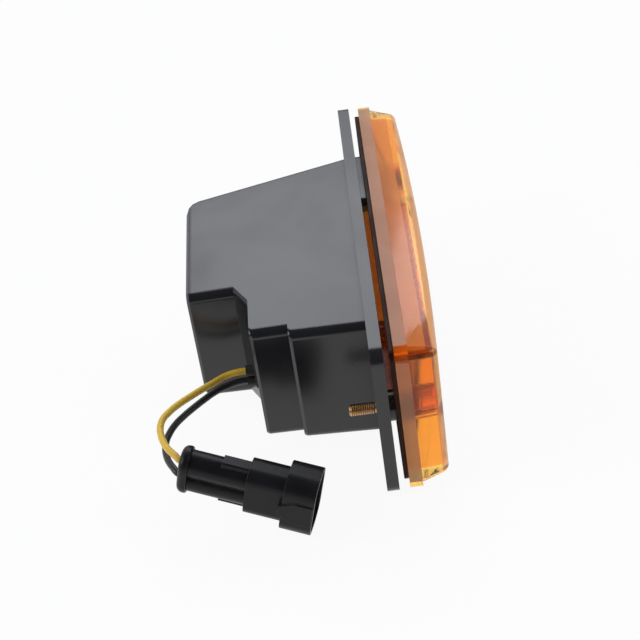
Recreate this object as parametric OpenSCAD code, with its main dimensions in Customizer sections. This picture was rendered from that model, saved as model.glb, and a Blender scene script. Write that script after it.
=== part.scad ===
// Amber direction indicator lamp for a vehicle, with a short two-wire lead and a sealed two-way connector.
// The lamp looks along +X, its long side runs along Y and it stands on its lower edges at Z = 0.
// Millimetres. All lamp parts are drawn from the rear face of the mounting flange, then shifted as one.

/* [Flange] */
// Long side of the flange
flange_w = 151; // [140:1:170]
// Height of the flange
flange_h = 58; // [56:1:62]
// Thickness of the flange
flange_t = 4; // [3:0.5:5]
// Radius of the flange's corners
flange_r = 5; // [3:0.5:8]

/* [Housing] */
// Depth of the housing behind the flange
can_depth = 57.4; // [54:0.2:62]
// Wall thickness of the housing
wall = 2.2; // [1.6:0.1:2.6]
// Radius along the housing's long edges
edge_r = 3; // [2:0.5:4]
// Height of the housing at the flange
can_h = 45; // [44:0.5:46]
// Draft of the top and bottom walls, in millimetres for each millimetre of depth
draft = 0.016; // [0:0.002:0.03]
// Lean of the far end wall, in millimetres for each millimetre of depth
far_lean = 0.256; // [0.1:0.01:0.3]

/* [Lens] */
// Thickness of the gap left for the vehicle's panel
panel_gap = 1.9; // [1.5:0.1:2.5]
// Thickness of the gasket
gasket_t = 1.5; // [1:0.1:2]
// Thickness of the lens rim
rim_t = 4.2; // [3.5:0.1:5]
// Depth of the domed part in front of the rim
dome_depth = 10.7; // [9:0.1:12]
// Radius of the gentle crown across the front of the lens
crown_r = 1500; // [1200:50:2400]
// Width of one flute inside the lens front
flute_w = 5; // [4:0.5:8]

/* [Screws] */
// Distance between the two lens screws
screw_pitch = 129; // [124:1:129]
// Diameter of the screw thread
screw_d = 4; // [4:0.5:4]
// Length of thread standing out behind the flange
stud_out = 8.6; // [6:0.2:12]

/* [Bulb] */
// Diameter of the bulb's glass
bulb_d = 25; // [23:0.5:26]
// Diameter of the bulb's bayonet cap
cap_d = 15; // [15:0.5:15]

/* [Lead] */
// Outside diameter of each wire
wire_d = 2.3; // [1.8:0.1:2.4]
// Distance between the two wires in the connector
pin_pitch = 6; // [6:0.1:6]

/* [Connector] */
// Length of the connector
plug_len = 44.6; // [44:0.2:48]
// Width of the connector's open shroud
shroud_w = 15; // [14:0.5:16]
// Height of the connector's open shroud
shroud_h = 22.8; // [21:0.2:24]

/* [Hidden] */
$fn = 48;
hull_fn = 32;
thin = 0.02;

// Heights and depths along the optical axis, from the flange's rear face
half_w = flange_w / 2;
mid_z = flange_h / 2;
gasket_x = flange_t + panel_gap;
lens_x = gasket_x + gasket_t;
dome_x = lens_x + rim_t;
front_x = dome_x + dome_depth;
frame_shift = (can_depth - front_x) / 2;
screw_y = screw_pitch / 2;
screw_hole_r = screw_d / 2 + 0.25;
shank_r = 1.7;
head_r = 3.5;
well_r = 3.8;
boss_r = 5;

// Plan of the housing: places of its steps along X and Y
step_x1 = -24.6;
step_x2 = -37;
diag_x = -41.6;
near_y0 = -51.1;
near_y1 = -50.2;
near_y2 = -47;
diag_y = -31.6;
near_y3 = -22.7;
far_y0 = 50.1;
block_y = 0;

// Bulb axis and places along it
bulb_y = 7;
cap_x0 = -46;
cap_x1 = -28;
glass_x = -9;
light_x = -8.2;
holder_x0 = -52;
holder_x1 = -33;
ear_h = 14;
rivet_at = 11.5;

// Blade terminals, 6.3 wide
blade_w = 6.3;
blade_t = 0.8;
blade_y = -13;
live_x = -50.9;
earth_x = -40.9;

// Wire exit in the rear step's wall
exit_y = -36.5;
exit_z = 26;
exit_gap = 4;
grommet_lip = 1.2;
grommet_nose = 2.8;
diag_turn = atan2(step_x2 - diag_x, near_y3 - diag_y);

// Connector: its rear centre, and how far it is turned and leans nose down
plug_at = [-63.5, -73.2, 22.2];
plug_yaw = 16.2;
plug_lean = 14;
cap_len = 3.2;
cap_r = 5.45;
barrel_r = 4.5;
rail_x = 13.4;
body_x = 22.2;
shroud_x = 34.5;
shroud_wall = 1.3;
socket_x = 36;
recess_x = 29;
seal_r = 2.9;
seal_end = 11;

// Routes of the two wires from the grommet into the connector's rear cap
yellow_route = [[-41, -36.5, 28], [-43, -36.5, 28], [-48, -36.8, 27.2], [-52.6, -39.2, 26.6], [-56.4, -41.2, 26.2],
                [-60, -43.4, 25.8], [-63.6, -45.8, 25.4], [-66.8, -48.6, 25], [-69, -51.8, 24.8],
                [-69.8, -56, 24.6], [-69.4, -59.8, 24.7], [-68.5, -63.4, 24.9], [-67.2, -66.9, 25.3],
                [-65.8, -69.5, 25.6], [-64.5, -71.5, 25.7], [-63.5, -72.9, 25.4], [-62.8, -73.4, 25.1],
                [-59.9, -74.2, 24.4]];
black_route = [[-41, -36.5, 24], [-43, -36.5, 24], [-48, -36.8, 23], [-52, -38.2, 22.4], [-56, -40.6, 21.6],
               [-59.6, -43.4, 21], [-62.8, -46.4, 20.6], [-65.6, -49.6, 20.2], [-67.6, -53.2, 19.8],
               [-68.8, -56.9, 19.4], [-68.9, -60.8, 19.3], [-68.3, -64.8, 19.5], [-67.3, -68, 19.8],
               [-66.1, -70.6, 20], [-65.1, -72.4, 19.7], [-64.2, -73, 19.3],
               [-61.3, -73.8, 18.5]];
yellow_inner = [[-32.4, -36.5, 28], [-30.6, -35.6, 28], [-29.4, -32.4, 28.4], [-30.6, -27.8, 29.2], [-33.6, -23, 30.4], [-37.6, -19, 31],
                [-42, -17.8, 31], [-46, -17.6, 30.2], [-49.2, -17, 29.2], [-50.5, -15.8, 29], [-50.5, -14.6, 29]];
black_inner = [[-32.4, -36.5, 24], [-30.6, -35.6, 24], [-29.4, -32, 24], [-30, -27, 24.4], [-32.8, -22.6, 25.4], [-36.6, -19.4, 27],
               [-39.6, -17.4, 28.4], [-40.5, -16, 29], [-40.5, -14.6, 29]];

function far_y(x) = far_y0 + far_lean * x;
function top_z(x) = mid_z + can_h / 2 + draft * x;
function low_z(x) = mid_z - can_h / 2 - draft * x;
function unit(v) = v / norm(v);

// Extrude a drawing of the Y-Z plane along +X
module along_x(x, len) {
    translate([x, 0, 0])
        rotate([90, 0, 90])
            linear_extrude(len)
                children();
}

// Rectangle with round corners, from exact arcs
module round_rect(y0, y1, z0, z1, r) {
    translate([y0 + r, z0])
        square([y1 - y0 - 2 * r, z1 - z0]);
    translate([y0, z0 + r])
        square([y1 - y0, z1 - z0 - 2 * r]);
    for (y = [y0 + r, y1 - r], z = [z0 + r, z1 - r])
        translate([y, z])
            circle(r);
}

// Outline of the flange, drawn in by an inset
module outline(inset, r) {
    round_rect(inset - half_w, half_w - inset, inset, flange_h - inset, r);
}

// Two overlapping circles, one above the other, as the connector's twin barrels
module twin(r) {
    for (s = [-1, 1])
        translate([0, s * pin_pitch / 2])
            circle(r);
}

// One thin cross-section of the housing
module section(x, near, far, inset) {
    along_x(x, thin)
        round_rect(near + inset, far - inset, low_z(x) + inset, top_z(x) - inset, edge_r, $fn = hull_fn);
}

// Wire swept along a route, with one ring of corners at each point and its sides in triangles
module tube(route, d, sides = 8) {
    n = len(route);
    rings = [for (i = [0 : n - 1])
        let (t = unit(route[min(i + 1, n - 1)] - route[max(i - 1, 0)]),
             side = unit(cross(t, [0, 0, 1])),
             up = cross(side, t))
        for (k = [0 : sides - 1])
            route[i] + d / 2 * (cos(360 * k / sides) * side + sin(360 * k / sides) * up)];
    walls = [for (i = [0 : n - 2], k = [0 : sides - 1])
        let (a = sides * i + k,
             b = sides * i + (k + 1) % sides)
        for (face = [[a, b, b + sides], [a, b + sides, a + sides]])
            face];
    ends = [[for (k = [sides - 1 : -1 : 0]) k], [for (k = [0 : sides - 1]) sides * (n - 1) + k]];
    polyhedron(rings, concat(walls, ends), convexity = 8);
}

// Place of the connector's own frame, which runs along +X from the rear cap to the open shroud
module at_plug() {
    translate(plug_at)
        rotate([0, plug_lean, -plug_yaw])
            children();
}

// Place of the grommet's own frame, with +X pointing out of the step's wall
module at_exit() {
    translate([step_x2, exit_y, exit_z])
        rotate([0, 0, 180])
            children();
}

// Stepped outer form of the housing: the far part over the whole depth, and three blocks on its near side
module can_outside() {
    back = -can_depth;
    hull() {
        section(0, near_y3, far_y(0), 0);
        section(back + 4.4, near_y3, far_y(back + 4.4), 0);
        section(back + 2.2, near_y3, far_y(back + 2.2) - 0.8, 0);
        section(back + 0.9, near_y3, far_y(back + 0.9) - 2.4, 0.1);
        section(back, near_y3, far_y(back) - 4.6, 0.9);
    }
    hull() {
        section(0, near_y0, block_y, 0);
        section(step_x1 + 1, near_y1, block_y, 0);
        section(step_x1, near_y1 + 0.8, block_y, 0);
    }
    hull() {
        section(step_x1 + 4, near_y2, block_y, 0);
        section(step_x2 + 1, near_y2, block_y, 0);
        section(step_x2, near_y2 + 0.8, block_y, 0);
    }
    hull() {
        section(step_x2 + 2, diag_y - 3.87, block_y, 0);
        section(diag_x, near_y3, block_y, 0);
    }
}

// Hollow inside the housing, open through the flange
module can_inside() {
    intersection() {
        translate([0, 0, low_z(-can_depth) + wall])
            linear_extrude(top_z(-can_depth) - low_z(-can_depth) - 2 * wall)
                polygon([[flange_t + 1, near_y0 + wall], [step_x1 + wall, near_y1 + wall],
                         [step_x1 + wall, near_y2 + wall], [step_x2 + wall, near_y2 + wall],
                         [step_x2 + wall, diag_y + wall * tan(diag_turn / 2)],
                         [diag_x + wall * tan(45 - diag_turn / 2), near_y3 + wall],
                         [wall - can_depth, near_y3 + wall], [wall - can_depth, far_y(-can_depth) - 5],
                         [wall - can_depth + 4, far_y(-can_depth) - wall], [0, far_y(0) - wall],
                         [flange_t + 1, far_y(0) - wall]]);
        along_x(-can_depth, can_depth + flange_t + 1)
            round_rect(near_y0 + wall, far_y0 - wall, low_z(-can_depth) + wall, top_z(-can_depth) - wall, 1.5);
    }
}

// Black moulding: flange, stepped can, screw bosses, locating collar, reflector ledges and holder post
module housing() {
    color([0.10, 0.10, 0.11])
        difference() {
            union() {
                difference() {
                    union() {
                        can_outside();
                        along_x(0, flange_t)
                            outline(0, flange_r);
                    }
                    can_inside();
                }
                for (s = [-1, 1])
                    along_x(flange_t - 1, lens_x - flange_t + 1)
                        translate([s * screw_y, mid_z])
                            circle(boss_r);
                locating_collar();
                holder_post();
                reflector_ledges();
            }
            for (s = [-1, 1])
                along_x(-1, lens_x + 2)
                    translate([s * screw_y, mid_z])
                        circle(screw_hole_r);
            at_exit()
                along_x(-6, 12)
                    grommet_neck();
        }
}

// Collar round the far third of the window, which centres the lens
module locating_collar() {
    along_x(flange_t - 1, panel_gap + gasket_t + 0.8)
        difference() {
            round_rect(20, far_y0 + 1.4, low_z(0) + 0.6, top_z(0) - 0.6, 3);
            round_rect(18, far_y0 - 0.6, low_z(0) + 2.6, top_z(0) - 2.6, 1.5);
            translate([17, 0])
                square([3.2, flange_h]);
        }
}

// Post on the rear wall that carries the bulb holder, hollow for the contact
module holder_post() {
    along_x(wall - can_depth - 0.5, holder_x0 + can_depth - wall + 0.5)
        difference() {
            union() {
                translate([bulb_y, mid_z])
                    circle(9);
                translate([bulb_y - 3.5, mid_z - ear_h])
                    square([7, 2 * ear_h]);
            }
            translate([bulb_y, mid_z])
                circle(6);
            for (s = [-1, 1])
                translate([bulb_y, mid_z + rivet_at * s])
                    circle(1.2);
        }
}

// Two ledges inside the window that hold the reflector's ends
module reflector_ledges() {
    along_x(step_x1 + 4, -step_x1 - 4.6)
        translate([near_y0 + wall, 14])
            square([2.6, 30]);
    along_x(-7, 6.4)
        translate([far_y0 - wall - 3.4, 14])
            square([3, 30]);
}

// Solid form of the lens dome: drafted sides, round front edges and a gentle crown, drawn in by an inset
module dome_form(base_inset, front_inset, r, x0, x1) {
    hull() {
        along_x(x0, thin)
            outline(base_inset, 4, $fn = hull_fn);
        for (i = [-4 : 4])
            let (y = i / 4 * (half_w - front_inset - r),
                 x = x1 - r - (crown_r - sqrt(crown_r * crown_r - y * y)))
            for (s = [-1, 1])
                translate([x, y, mid_z + s * (mid_z - front_inset - r)])
                    if (abs(i) == 4)
                        sphere(r, $fn = 24);
                    else
                        rotate([90, 0, 0])
                            cylinder(r = r, h = thin, center = true, $fn = 24);
    }
}

// Half-round flutes on the inside of the lens front, which spread the light
module lens_flutes() {
    n = floor(62 / flute_w);
    for (i = [0 : n - 1])
        translate([front_x - 5.4 + flute_w, -44.8 + (i + 0.5) * flute_w, 9.9])
            cylinder(r = flute_w, h = flange_h - 19.8);
}

// Amber lens: rim, dome, light box with flutes, and two wells for the screws
module lens() {
    color([1, 0.50, 0.08, 0.75])
        difference() {
            union() {
                difference() {
                    union() {
                        along_x(lens_x, rim_t)
                            outline(0.3, flange_r - 0.3);
                        dome_form(1.3, 3.2, 3, dome_x - 0.2, front_x);
                    }
                    along_x(lens_x - 1, front_x - lens_x - 2.6)
                        outline(5.8, 2);
                }
                light_box();
                intersection() {
                    lens_flutes();
                    along_x(front_x - 8, 5)
                        round_rect(-46, 18.6, 10.2, flange_h - 10.2, 1);
                }
                for (s = [-1, 1])
                    along_x(lens_x, front_x - lens_x - 3)
                        translate([s * screw_y, mid_z]) {
                            circle(4.65);
                            translate([s * 5 - 1.5, -1])
                                square([3, 2]);
                        }
            }
            for (s = [-1, 1]) {
                along_x(lens_x - 1, 6)
                    translate([s * screw_y, mid_z])
                        circle(screw_hole_r);
                along_x(lens_x + 2, front_x)
                    translate([s * screw_y, mid_z])
                        circle(well_r);
            }
        }
}

// Walls of the light box, from the lens front back into the housing's window
module light_box() {
    along_x(1, front_x - 4)
        difference() {
            round_rect(-46.5, 19, 9.8, flange_h - 9.8, 2);
            round_rect(-44.9, 17.4, 11.4, flange_h - 11.4, 1);
        }
}

// Black rubber frame stuck to the back of the lens rim
module lens_gasket() {
    color([0.06, 0.05, 0.05])
        along_x(gasket_x, gasket_t)
            difference() {
                outline(2.9, 3);
                outline(5.8, 2);
            }
}

// Bright reflector: a flat plate with a dish round the bulb
module reflector() {
    f = 5.79;
    r1 = 17.6;
    r0 = bulb_d / 2 + 0.9;
    x1 = -0.6;
    t = 1.2;
    n = 8;
    color([0.86, 0.86, 0.88])
        union() {
            along_x(x1, 1.6)
                difference() {
                    round_rect(near_y0 + wall + 0.3, far_y0 - wall - 0.3, 9.9, flange_h - 9.9, 1.5);
                    translate([bulb_y, mid_z])
                        circle(r1);
                }
            translate([x1, bulb_y, mid_z])
                rotate([0, 90, 0])
                    rotate_extrude()
                        polygon(concat(
                            [for (i = [0 : n]) let (r = r0 + (r1 - r0) * i / n) [r, (r * r - r1 * r1) / (4 * f)]],
                            [[r1 + 0.5, 0.5], [r1 + 1.2, 0.5]],
                            [for (i = [n : -1 : 0]) let (r = r0 + (r1 - r0) * i / n)
                                [r + t * 0.8, (r * r - r1 * r1) / (4 * f) - t * 0.5]]));
        }
}

// Glass of the bulb: a ball on a neck
module bulb_glass() {
    r = bulb_d / 2;
    color([0.95, 0.75, 0.4, 0.5])
        translate([0, bulb_y, mid_z])
            rotate([0, 90, 0])
                rotate_extrude()
                    difference() {
                        union() {
                            translate([0, glass_x])
                                circle(r);
                            translate([0, cap_x1 - 4])
                                square([6.6, glass_x - cap_x1]);
                        }
                        translate([-20, cap_x1 - 10])
                            square([20, 60]);
                        translate([0, glass_x])
                            circle(r - 0.7);
                        translate([-1, cap_x1 - 5])
                            square([6.9, glass_x - cap_x1]);
                    }
}

// Brass bayonet cap with its two pins and its contact bead
module bulb_cap() {
    r = cap_d / 2;
    color([0.80, 0.66, 0.34])
        translate([0, bulb_y, mid_z]) {
            rotate([0, 90, 0])
                rotate_extrude()
                    polygon([[0, cap_x0 - 1.6], [1.8, cap_x0 - 1.2], [2.4, cap_x0], [r - 1, cap_x0],
                             [r, cap_x0 + 1], [r, cap_x1 - 1], [r - 0.5, cap_x1], [6.65, cap_x1],
                             [6.65, cap_x1 - 4], [0, cap_x1 - 4]]);
            for (s = [-1, 1])
                translate([cap_x0 + 6, 0, s * (r - 0.5)])
                    rotate([s < 0 ? 180 : 0, 0, 0])
                        cylinder(r = 1, h = 1.3);
        }
}

// Filament between its two support wires
module bulb_filament() {
    color([0.55, 0.55, 0.58])
        translate([0, bulb_y, mid_z]) {
            for (s = [-1, 1])
                translate([cap_x1 - 4, s * 2.6, 0])
                    rotate([0, 90, 0])
                        cylinder(r = 0.35, h = light_x - cap_x1 + 4.3);
            translate([light_x, -2.8, 0])
                rotate([-90, 0, 0])
                    cylinder(r = 0.55, h = 5.6);
        }
}

// Steel bayonet holder with two ears
module bulb_holder() {
    r = cap_d / 2 + 0.3;
    color([0.70, 0.71, 0.73])
        difference() {
            union() {
                along_x(holder_x0, holder_x1 - holder_x0)
                    translate([bulb_y, mid_z])
                        circle(r + 0.6);
                along_x(holder_x0, 0.8)
                    translate([bulb_y - 3.5, mid_z - ear_h])
                        square([7, 2 * ear_h]);
            }
            along_x(holder_x0 + 0.8, holder_x1 - holder_x0)
                translate([bulb_y, mid_z])
                    circle(r);
            along_x(holder_x0 - 1, 3)
                translate([bulb_y, mid_z])
                    circle(6);
            for (s = [-1, 1])
                along_x(holder_x0 - 1, 3)
                    translate([bulb_y, mid_z + rivet_at * s])
                        circle(1.2);
            for (s = [-1, 1])
                along_x(cap_x0 + 4.9, 20)
                    translate([bulb_y - 1.1, mid_z + s * r - 1.2])
                        square([2.2, 2.4]);
            along_x(live_x - 0.3, 1.4)
                translate([bulb_y - r - 2, mid_z - 3.4])
                    square([3, 6.8]);
        }
}

// Two hollow rivets through the holder's ears
module holder_rivets() {
    color([0.75, 0.75, 0.76])
        for (s = [-1, 1]) {
            along_x(wall - can_depth, holder_x0 + 0.8 + can_depth - wall)
                translate([bulb_y, mid_z + rivet_at * s])
                    circle(1.2);
            along_x(holder_x0 + 0.8, 0.8)
                translate([bulb_y, mid_z + rivet_at * s])
                    circle(2.1);
        }
}

// Fibre disc that carries the centre contact
module holder_insulator() {
    color([0.45, 0.30, 0.18])
        along_x(wall - can_depth, live_x + can_depth - wall)
            translate([bulb_y, mid_z])
                circle(5.8);
}

// Brass button that presses on the bulb's contact bead
module centre_contact() {
    color([0.80, 0.66, 0.34])
        union() {
            along_x(cap_x0 - 2.8, 1.2)
                translate([bulb_y, mid_z])
                    circle(2.6);
            along_x(cap_x0 - 3.8, 1.1)
                translate([bulb_y, mid_z])
                    circle(1);
        }
}

// Spring behind the contact button, a strip folded to and fro
module contact_spring() {
    folds = 4;
    half_h = 1.9;
    strip_w = 3;
    strip_t = 1;
    x0 = live_x + blade_t + 0.35;
    x1 = cap_x0 - 2.8 - 0.3;
    line = [for (i = [0 : folds]) [x0 + (x1 - x0) * i / folds, (i % 2 == 0 ? half_h : -half_h)]];
    color([0.70, 0.71, 0.73])
        translate([0, bulb_y + strip_w / 2, mid_z])
            rotate([90, 0, 0])
                linear_extrude(strip_w)
                    polygon(concat([for (p = line) p + [0, strip_t / 2]],
                                   [for (i = [folds : -1 : 0]) line[i] - [0, strip_t / 2]]));
}

// Blade terminal from the centre contact, out through the side of the holder
module live_terminal() {
    color([0.80, 0.66, 0.34])
        along_x(live_x, blade_t)
            translate([blade_y, mid_z - blade_w / 2])
                square([bulb_y + 2 - blade_y, blade_w]);
}

// Blade terminal on the side of the steel holder
module earth_terminal() {
    r = cap_d / 2 + 0.9;
    color([0.80, 0.66, 0.34])
        difference() {
            along_x(earth_x, blade_t)
                translate([blade_y, mid_z - blade_w / 2])
                    square([bulb_y - r + 1.2 - blade_y, blade_w]);
            along_x(earth_x - 1, 3)
                translate([bulb_y, mid_z])
                    circle(r);
        }
}

// Captive screw: slotted cheese head in the lens well, thinner shank, and the thread behind the flange
module lens_screw(s) {
    r = screw_d / 2;
    tip = 0.5;
    head_x = lens_x + 2.8;
    head_h = 2.6;
    slot_w = 1.2;
    color([0.80, 0.62, 0.25])
        difference() {
            translate([0, s * screw_y, mid_z])
                rotate([0, 90, 0])
                    rotate_extrude()
                        polygon([[0, -stud_out], [r - tip, -stud_out], [r, tip - stud_out], [r, -0.3],
                                 [shank_r, -0.3], [shank_r, head_x], [head_r, head_x],
                                 [head_r, head_x + head_h - 0.4], [head_r - 0.4, head_x + head_h],
                                 [0, head_x + head_h]]);
            along_x(head_x + head_h - slot_w, 2)
                translate([s * screw_y - head_r - 0.5, mid_z - slot_w / 2])
                    square([2 * head_r + 1, slot_w]);
        }
}

module lens_screw_near() {
    lens_screw(-1);
}

module lens_screw_far() {
    lens_screw(1);
}

// Flat washer under a screw head
module screw_washer(s) {
    color([0.78, 0.78, 0.80])
        along_x(lens_x + 2, 0.8)
            translate([s * screw_y, mid_z])
                difference() {
                    circle(well_r - 0.15);
                    circle(screw_d / 2 + 0.15);
                }
}

module screw_washer_near() {
    screw_washer(-1);
}

module screw_washer_far() {
    screw_washer(1);
}

// Section of the grommet where it passes through the wall
module grommet_neck() {
    for (s = [-1, 1])
        translate([0, s * exit_gap / 2])
            circle(2.2);
    translate([-2.2, -exit_gap / 2])
        square([4.4, exit_gap]);
}

// Section of the grommet's lips on both sides of the wall
module grommet_flange() {
    for (s = [-1, 1])
        translate([0, s * exit_gap / 2])
            circle(3);
    translate([-3, -exit_gap / 2])
        square([6, exit_gap]);
}

// Rubber grommet with a small nose round each wire
module cable_grommet() {
    color([0.07, 0.07, 0.07])
        at_exit()
            union() {
                along_x(-wall - grommet_lip, wall + 2 * grommet_lip)
                    grommet_neck();
                for (x = [-wall - grommet_lip, 0])
                    along_x(x, grommet_lip)
                        grommet_flange();
                for (s = [-1, 1])
                    along_x(grommet_lip, grommet_nose)
                        translate([0, s * exit_gap / 2])
                            circle(1.9);
            }
}

// Point of an inner lead on the grommet's inner face
function exit_point(s) = [step_x2 + wall + grommet_lip, exit_y, exit_z + s * exit_gap / 2];

// Socket that slides onto a blade terminal, at the end of an inner lead
module receptacle(x) {
    difference() {
        translate([x - 0.9, blade_y - 1.6, mid_z - blade_w / 2 - 0.75])
            cube([blade_t + 1.8, 7.6, blade_w + 1.5]);
        translate([x, blade_y, mid_z - blade_w / 2])
            cube([blade_t, 8, blade_w]);
    }
}

// Leads inside the housing, from the grommet to the two blade terminals
module inner_lead_yellow() {
    color([0.85, 0.65, 0.1])
        tube(concat([exit_point(1)], yellow_inner), wire_d);
    color([0.80, 0.66, 0.34])
        receptacle(live_x);
}

module inner_lead_black() {
    color([0.06, 0.06, 0.06])
        tube(concat([exit_point(-1)], black_inner), wire_d);
    color([0.80, 0.66, 0.34])
        receptacle(earth_x);
}

// Free wires from the grommet to the connector
module wire_yellow() {
    color([0.85, 0.65, 0.1])
        tube(yellow_route, wire_d);
}

module wire_black() {
    color([0.06, 0.06, 0.06])
        tube(black_route, wire_d);
}

// Body of the connector: twin barrels with two rails, middle, and an open shroud with a side pad
module connector_housing() {
    color([0.09, 0.09, 0.10])
        at_plug()
            difference() {
                union() {
                    along_x(cap_len, body_x - cap_len)
                        twin(barrel_r);
                    along_x(rail_x, body_x - rail_x)
                        round_rect(-2.2, 2.2, -8.4, 8.4, 0.6);
                    along_x(body_x, shroud_x - body_x + 1)
                        round_rect(-5.8, 5.8, -9.1, 9.1, 4.4);
                    along_x(shroud_x, plug_len - shroud_x)
                        round_rect(-shroud_w / 2, shroud_w / 2, -shroud_h / 2, shroud_h / 2, 6);
                    side_pad();
                }
                along_x(socket_x, plug_len)
                    round_rect(shroud_wall - shroud_w / 2, shroud_w / 2 - shroud_wall, shroud_wall - shroud_h / 2,
                               shroud_h / 2 - shroud_wall, 4.7);
                along_x(recess_x, plug_len)
                    round_rect(-3.4, 3.4, -6.6, 6.6, 2);
                for (s = [-1, 1])
                    translate([0, 0, s * pin_pitch / 2])
                        rotate([0, 90, 0]) {
                            translate([0, 0, cap_len - 1])
                                cylinder(r = seal_r, h = seal_end - cap_len + 1);
                            cylinder(r = 2.1, h = plug_len - 4);
                        }
            }
}

// Flat pad along the side of the shroud, narrower towards its rear end, that guides the mating half
module side_pad() {
    proud = 0.5;
    half = 4.1;
    rear = 1.8;
    translate([0, -shroud_w / 2 - proud, 0])
        rotate([-90, 0, 0])
            linear_extrude(proud + 2.4)
                polygon([[shroud_x - 1.2, -rear], [shroud_x + 3.7, -half], [plug_len - 0.3, -half],
                         [plug_len - 0.3, half], [shroud_x + 3.7, half], [shroud_x - 1.2, rear]]);
}

// Rear cap that keeps the wire seals in: an oval bead, well rounded towards the wires
module connector_rear_cap() {
    color([0.10, 0.10, 0.11])
        at_plug()
            difference() {
                union() {
                    for (s = [-1, 1])
                        translate([0, 0, s * pin_pitch / 2])
                            rotate([0, 90, 0])
                                rotate_extrude()
                                    cap_profile();
                    translate([0, 0, -pin_pitch / 2])
                        linear_extrude(pin_pitch) {
                            mirror([1, -1])
                                cap_profile();
                            rotate([0, 0, -90])
                                cap_profile();
                        }
                }
                for (s = [-1, 1])
                    along_x(-1, cap_len + 2)
                        translate([0, s * pin_pitch / 2])
                            circle(wire_d / 2 + 0.3);
            }
}

// Half section of the rear cap: its radius, then its length
module cap_profile() {
    rear_r = 2;
    front_r = 0.6;
    square([cap_r - rear_r, cap_len]);
    translate([0, rear_r])
        square([cap_r - front_r, cap_len - rear_r]);
    translate([0, rear_r])
        square([cap_r, cap_len - rear_r - front_r]);
    intersection() {
        translate([cap_r - rear_r, rear_r])
            circle(rear_r);
        square([cap_r, cap_len]);
    }
    translate([cap_r - front_r, cap_len - front_r])
        circle(front_r);
}

// Plate at the bottom of the socket that locks the pins
module connector_lock() {
    color([0.12, 0.12, 0.13])
        at_plug()
            along_x(socket_x, 1.4)
                difference() {
                    round_rect(2.4 - shroud_w / 2, shroud_w / 2 - 2.4, 2.4 - shroud_h / 2, shroud_h / 2 - 2.4, 4);
                    for (s = [-1, 1])
                        translate([-1.6, s * pin_pitch / 2 - 0.6])
                            square([3.2, 1.2]);
                }
}

// Ribbed rubber seal round one wire
module wire_seal(s) {
    groove_r = 2.5;
    at_plug()
        translate([0, 0, s * pin_pitch / 2])
            rotate([0, 90, 0])
                rotate_extrude()
                    polygon([[0, cap_len], [seal_r, cap_len], [seal_r, 4.6], [groove_r, 5.2], [seal_r, 5.8],
                             [seal_r, 6.8], [groove_r, 7.4], [seal_r, 8], [seal_r, 9], [2.3, 9.6],
                             [1.6, seal_end], [0, seal_end]]);
}

module wire_seal_yellow() {
    color([0.80, 0.30, 0.10])
        wire_seal(1);
}

module wire_seal_black() {
    color([0.80, 0.30, 0.10])
        wire_seal(-1);
}

// Tab contact: crimped barrel behind, flat tab in the socket
module connector_pin(s) {
    color([0.82, 0.82, 0.80])
        at_plug()
            translate([0, 0, s * pin_pitch / 2]) {
                rotate([0, 90, 0])
                    difference() {
                        translate([0, 0, seal_end])
                            cylinder(r = 2.1, h = 14);
                        translate([0, 0, seal_end + 3])
                            difference() {
                                cylinder(r = 3, h = 8);
                                cylinder(r = 1.6, h = 8);
                            }
                    }
                translate([seal_end + 13, -1.4, -0.4])
                    cube([plug_len - seal_end - 13 - 2.5, 2.8, 0.8]);
            }
}

module connector_pin_live() {
    connector_pin(1);
}

module connector_pin_earth() {
    connector_pin(-1);
}

// Shift from the flange's rear face to the middle of the lamp
module in_frame() {
    translate([frame_shift, 0, 0])
        children();
}

in_frame() housing();
in_frame() lens();
in_frame() lens_gasket();
in_frame() reflector();
in_frame() bulb_glass();
in_frame() bulb_cap();
in_frame() bulb_filament();
in_frame() bulb_holder();
in_frame() holder_rivets();
in_frame() holder_insulator();
in_frame() centre_contact();
in_frame() contact_spring();
in_frame() live_terminal();
in_frame() earth_terminal();
in_frame() lens_screw_near();
in_frame() lens_screw_far();
in_frame() screw_washer_near();
in_frame() screw_washer_far();
in_frame() cable_grommet();
in_frame() inner_lead_yellow();
in_frame() inner_lead_black();
in_frame() wire_yellow();
in_frame() wire_black();
in_frame() connector_housing();
in_frame() connector_rear_cap();
in_frame() connector_lock();
in_frame() wire_seal_yellow();
in_frame() wire_seal_black();
in_frame() connector_pin_live();
in_frame() connector_pin_earth();
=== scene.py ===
# %% [markdown]
# # Amber indicator lamp
# A vehicle's direction indicator stands on a white studio sweep: a black stepped housing, an amber lens held
# by two screws, and a short two-wire lead with a sealed connector.
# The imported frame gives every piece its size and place, and the cells below give each one its look.

# %% Load the frame
from math import cos, pi, radians, sin

import bmesh
import bpy
from mathutils import Matrix, Vector


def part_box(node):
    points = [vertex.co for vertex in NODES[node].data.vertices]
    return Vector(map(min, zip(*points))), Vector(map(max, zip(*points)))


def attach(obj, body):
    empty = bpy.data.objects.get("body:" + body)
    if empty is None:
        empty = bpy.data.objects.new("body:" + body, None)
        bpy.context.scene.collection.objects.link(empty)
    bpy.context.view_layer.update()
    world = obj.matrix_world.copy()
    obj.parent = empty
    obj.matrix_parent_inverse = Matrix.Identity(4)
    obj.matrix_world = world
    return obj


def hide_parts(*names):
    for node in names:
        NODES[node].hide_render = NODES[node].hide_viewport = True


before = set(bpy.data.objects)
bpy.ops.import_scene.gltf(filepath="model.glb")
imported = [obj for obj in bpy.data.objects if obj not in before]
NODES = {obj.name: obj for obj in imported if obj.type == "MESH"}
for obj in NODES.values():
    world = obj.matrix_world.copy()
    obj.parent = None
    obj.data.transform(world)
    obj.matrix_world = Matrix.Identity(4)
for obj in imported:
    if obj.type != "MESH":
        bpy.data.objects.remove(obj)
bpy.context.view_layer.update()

MM = 0.001


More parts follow.
